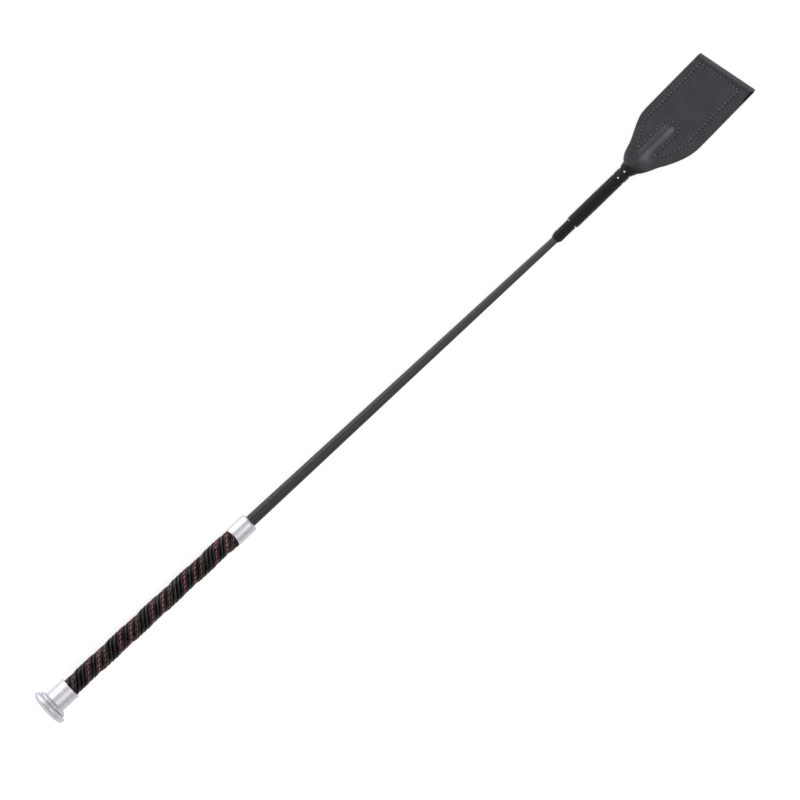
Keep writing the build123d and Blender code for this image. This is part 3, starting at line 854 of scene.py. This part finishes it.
def leather_shade(u, v, before_fold):
    """How much painted shade the leather gets, 0 to 1: bell curves of painted shade along the seam and in the
    dip before the fold, a fade of painted shade on the -Y side of the crease behind the winding, and 1 along
    both cut edges."""
    # Painted shade in the groove along the seam.
    shade = 0.55 * np.exp(-(seam_distance(u, v) / (0.55 * MM)) ** 2) * (u > 9 * MM)
    # Painted shade in the crease behind the winding, on its -Y side.
    shade += 0.9 * (1 - smoothstep(u, 1 * MM, 7 * MM)) * smoothstep(-v, -1.5 * MM, 2.5 * MM)
    # Painted shade in the dip before the fold's roll.
    shade += 0.45 * np.exp(-((before_fold - 4.6 * MM) / (1.1 * MM)) ** 2)
    # Both cut edges darkened to near black.
    shade[:, [0, -1]] = 1
    return np.clip(shade, 0, 1)


def leather_wear(u, v, before_fold):
    """How much painted highlight the leather gets: on the keel's -Y side up to its rounded end, in a soft
    spot ahead of it, and in a band along the fold."""
    # Painted highlight on the keel's -Y side, a soft spot of painted highlight ahead of it, and a band of
    # painted highlight along the fold.
    off_crest = -(v + u * math.tan(FLAP_LEAN)) / KEEL_HALF
    beyond = np.maximum(u - (KEEL_END - KEEL_HALF), 0) / KEEL_HALF
    on_keel = smoothstep(off_crest, -0.12, 0.06) * (1 - smoothstep(np.hypot(off_crest, beyond), 0.35, 1.0))
    paleness = 0.85 * on_keel * (0.55 + 0.45 * smoothstep(u, 28 * MM, 40 * MM)) * smoothstep(u, 5 * MM, 11 * MM)
    paleness += 0.40 * np.exp(-((u - 12 * MM) / (4 * MM)) ** 2 - ((v + 4.5 * MM) / (3 * MM)) ** 2)
    return paleness + 0.34 * smoothstep(-before_fold, -3.4 * MM, -1.8 * MM)


def flap():
    """The folded leather as one closed skin: its outer face, its two cut edges and its inner face.
    Lines across it turn from square at the mouth to the skewed fold line at the far end. Near the fold the
    front layer's -Y edge is drawn in, and both corners of the fold are rounded off. U is the painted
    highlight on the outer face. V is its painted shade, and it is 1 on the inner face, which is painted black
    as shade."""
    u0, z0, outward = strip_line(180, 26)
    across = np.linspace(-1, 1, 100)
    across = np.sign(across) * (1 - (1 - np.abs(across)) ** 1.25)
    u0, z0 = u0[:, None], z0[:, None]
    front = np.sign(z0 + 1e-9)
    before_fold = FLAP_REACH - u0
    drawn_in = 2.0 * MM * smoothstep(-before_fold, -16 * MM, -8 * MM) * smoothstep(before_fold, MM, 4 * MM)
    corner = 1 - np.sqrt(1 - np.clip(1 - before_fold / (2.6 * MM), 0, 1) ** 2 * 0.98)
    left = edge(u0, EDGE_LEFT) - 1.0 * MM * corner
    right = edge(u0, EDGE_RIGHT) - 2.8 * MM * corner - drawn_in * (front > 0)
    v = np.where(across > 0, across * left, across * right)
    turned = smoothstep(u0, 0.45 * FLAP_REACH, 0.85 * FLAP_REACH)
    u = u0 - v * math.tan(FOLD_SKEW) * turned
    half = LEATHER / 2
    flat = 1 - smoothstep(u0, FLAP_REACH - LOOP_LENGTH, FLAP_REACH - FOLD_RADIUS)
    height = flap_height(u, v, front)
    out_u, out_z = outward[:, 0, None], outward[:, 1, None]
    outer_z = flat * front * height + (1 - flat) * (z0 + out_z * half)
    lift = np.maximum(height - LEATHER, LAYER_GAP)
    inner_z = flat * front * lift + (1 - flat) * (z0 - out_z * half)
    outer = np.stack([u + out_u * half, v, outer_z], axis=2)
    inner = np.stack([u - out_u * half, v, inner_z], axis=2)
    points, faces, uvs = capped_tube(on_flap(np.concatenate([outer, inner[:, ::-1]], axis=1)))
    # The inner face is painted black, as shade between the layers and inside the loop.
    inside = np.ones(inner.shape[:2])
    # U carries the painted highlight, and V the painted shade.
    paleness = np.concatenate([leather_wear(u, v, before_fold), 0 * inside], axis=1)
    shade = np.concatenate([leather_shade(u, v, before_fold), inside], axis=1)
    uvs = np.stack([np.append(paleness.ravel(), [0, 0])[faces], np.append(shade.ravel(), [1, 1])[faces]], axis=2)
    return make_piece("flap_leather_folded", points, faces, uvs, leather)


def stitch_threads(face):
    """One short thread for each stitch, as a bent tube on the outer face of the leather: its height is
    1 - t^4 of its rise, so that it dips into the leather at both ends, and it thins towards them."""
    t = np.linspace(-1, 1, 7)
    side_angle = 2 * np.pi * np.arange(6) / 6
    radius = 0.25 * MM * (1 - 0.45 * t ** 4)
    along = 0.29 * STITCH_PITCH * t
    rise = 0.24 * MM * (1 - t ** 4) - 0.12 * MM * t ** 4
    base = flap_height(STITCHES[:, 0], STITCHES[:, 1], np.full(len(STITCHES), float(face)))
    direction = STITCH_DIRECTIONS
    side = np.stack([-direction[:, 1], direction[:, 0]], axis=1)
    thread_offset = np.array([0.0, 0.18 * MM])
    centre = STITCHES[:, None, :] + direction[:, None, :] * along[None, :, None] + thread_offset
    wide = radius[None, :, None] * np.sin(side_angle)[None, None, :]
    tall = radius[None, :, None] * np.cos(side_angle)[None, None, :] * 0.85
    plan = centre[:, :, None, :] + side[:, None, None, :] * wide[..., None]
    height = base[:, None, None] + rise[None, :, None] + tall + 0 * wide
    rings = on_flap(np.concatenate([plan, (face * height)[..., None]], axis=3))
    return [capped_tube(ring) for ring in rings]


def stitch_holes(face):
    """A painted shadow for the hole between each stitch and the next: a flat ball, sunk to its middle, with V
    from 2, which turns it black.
    """
    side_angle = 2 * np.pi * np.arange(6) / 6
    down = np.linspace(0.3, np.pi - 0.3, 5)
    ball = np.stack([0.95 * MM * np.sin(down)[:, None] * np.cos(side_angle),
                     0.58 * MM * np.sin(down)[:, None] * np.sin(side_angle),
                     0.20 * MM * np.cos(down)[:, None] + 0 * side_angle], axis=2)
    hole = STITCHES + STITCH_DIRECTIONS * 0.5 * STITCH_PITCH - np.array([0.0, 0.38 * MM])
    height = flap_height(hole[:, 0], hole[:, 1], np.full(len(hole), float(face))) + 0.02 * MM
    middle = np.concatenate([hole, (face * height)[:, None]], axis=1)
    # These black balls are painted shadow inside each hole.
    made = [capped_tube(ring) for ring in on_flap(middle[:, None, None] + ball)]
    return [(points, faces, uvs + np.array([0.0, 2.0])) for points, faces, uvs in made]


def seams():
    """Upper and lower thread of the seam, each in one piece."""
    pieces = []
    for name, face in (("front", 1), ("back", -1)):
        points, faces, uvs = join_parts(stitch_threads(face) + stitch_holes(face))
        piece = make_piece(f"seam_{name}_stitches", points, faces, uvs, seam_finish)
        pieces.append(piece)
        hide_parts(f"seam_{name}_root", f"seam_{name}_blade")
    return pieces


# ---------------------------------------------------------------- assembly
cap = pommel()
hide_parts("pommel_cap")
collar = ferrule()
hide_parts("ferrule")
sleeve = cover()
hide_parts("shaft_cover")
beads = seals()
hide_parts("whipping_seals")
for piece in [cap, collar, sleeve, beads] + grip() + whipping():
    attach(piece, "stick")

leather_flap = flap()
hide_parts("flap_root_front", "flap_root_back", "flap_blade")
HALF_BEND = 6 * MM
bend_start = on_flap(np.array([BEND_REACH - HALF_BEND, 0.0, 0.0]))
bend_end = on_flap(np.array([BEND_REACH + HALF_BEND, 0.0, 0.0]))
for piece in [leather_flap] + seams():
    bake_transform(piece)


# ---------------------------------------------------------------- floor, light and camera
def floor():
    """A pale sheet that the pommel's rim and the far end of the flap both rest on."""
    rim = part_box("pommel_cap")[0][2]
    rim_x = 3.6 * MM
    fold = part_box("flap_blade")[0][2]
    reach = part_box("flap_blade")[1][0]
    slope = (fold - rim) / (reach - rim_x)
    size = 6.0
    corners = np.array([(-size, -size), (size, -size), (size, size), (-size, size)])
    height = rim - FIT + slope * (corners[:, 0] - rim_x)
    mesh = bpy.data.meshes.new("floor")
    mesh.from_pydata([(x, y, z) for (x, y), z in zip(corners, height)], [], [(0, 1, 2, 3)])
    sheet = bpy.data.objects.new("floor", mesh)
    bpy.context.scene.collection.objects.link(sheet)
    finish = Finish("floor_paper")
    cloud = finish.noise(finish.coordinate("Object"), 3.0, 2.0)
    finish.set("Base Color", finish.mix(cloud, grey(0.58), grey(0.60)))
    finish.set("Roughness", cloud * 0.1 + 0.8)
    finish.shader.inputs["Emission Color"].default_value = grey(1.0)
    finish.shader.inputs["Emission Strength"].default_value = 0.62
    mesh.materials.append(finish.material)


def area_light(name, place, target, size, power):
    data = bpy.data.lights.new(name, "AREA")
    data.shape = "RECTANGLE"
    data.size, data.size_y = size
    data.energy = power
    lamp = bpy.data.objects.new(name, data)
    lamp.location = place
    lamp.rotation_euler = (Vector(place) - Vector(target)).to_track_quat("Z", "Y").to_euler()
    lamp.visible_camera = False
    bpy.context.scene.collection.objects.link(lamp)


CENTRE = Vector((324.8 * MM, -8.6 * MM, 0))
SHOT_ANGLE = math.radians(42.76)
DISTANCE = 6.0
FIELD = 0.5514


def camera():
    """Straight above the crop, rolled so that the rod runs up to the right."""
    data = bpy.data.cameras.new("camera")
    data.sensor_width = 36.0
    data.lens = 36.0 * DISTANCE / FIELD
    data.clip_end = 50
    shot = bpy.data.objects.new("camera", data)
    right = Vector((math.cos(SHOT_ANGLE), -math.sin(SHOT_ANGLE), 0))
    up = Vector((math.sin(SHOT_ANGLE), math.cos(SHOT_ANGLE), 0))
    back = Vector((0, 0, 1))
    turn = Matrix((right, up, back)).transposed().to_4x4()
    shot.matrix_world = Matrix.Translation(CENTRE + DISTANCE * back) @ turn
    bpy.context.scene.collection.objects.link(shot)
    bpy.context.scene.camera = shot


def lights():
    """An even pale room, a long soft box low on the upper left of the shot and a wide one high on
    the lower right, with a darker gap between them."""
    world = bpy.data.worlds.new("studio")
    bpy.context.scene.world = world
    world.use_nodes = True
    world.node_tree.nodes["Background"].inputs["Color"].default_value = grey(1.0)
    world.node_tree.nodes["Background"].inputs["Strength"].default_value = 0.42
    area_light("side_box", CENTRE + Vector((0, 1.7, 0.75)), CENTRE, (2.4, 1.1), 28)
    area_light("top_strip", CENTRE + Vector((0, -0.85, 1.9)), CENTRE, (2.4, 1.0), 12)
    flap_end = CENTRE + Vector((0.28, 0, 0))
    area_light("flap_strip", flap_end + Vector((0, -0.36, 1.0)), flap_end, (0.5, 0.5), 1.6)


floor()
camera()
lights()
bpy.context.scene.view_settings.view_transform = "Standard"
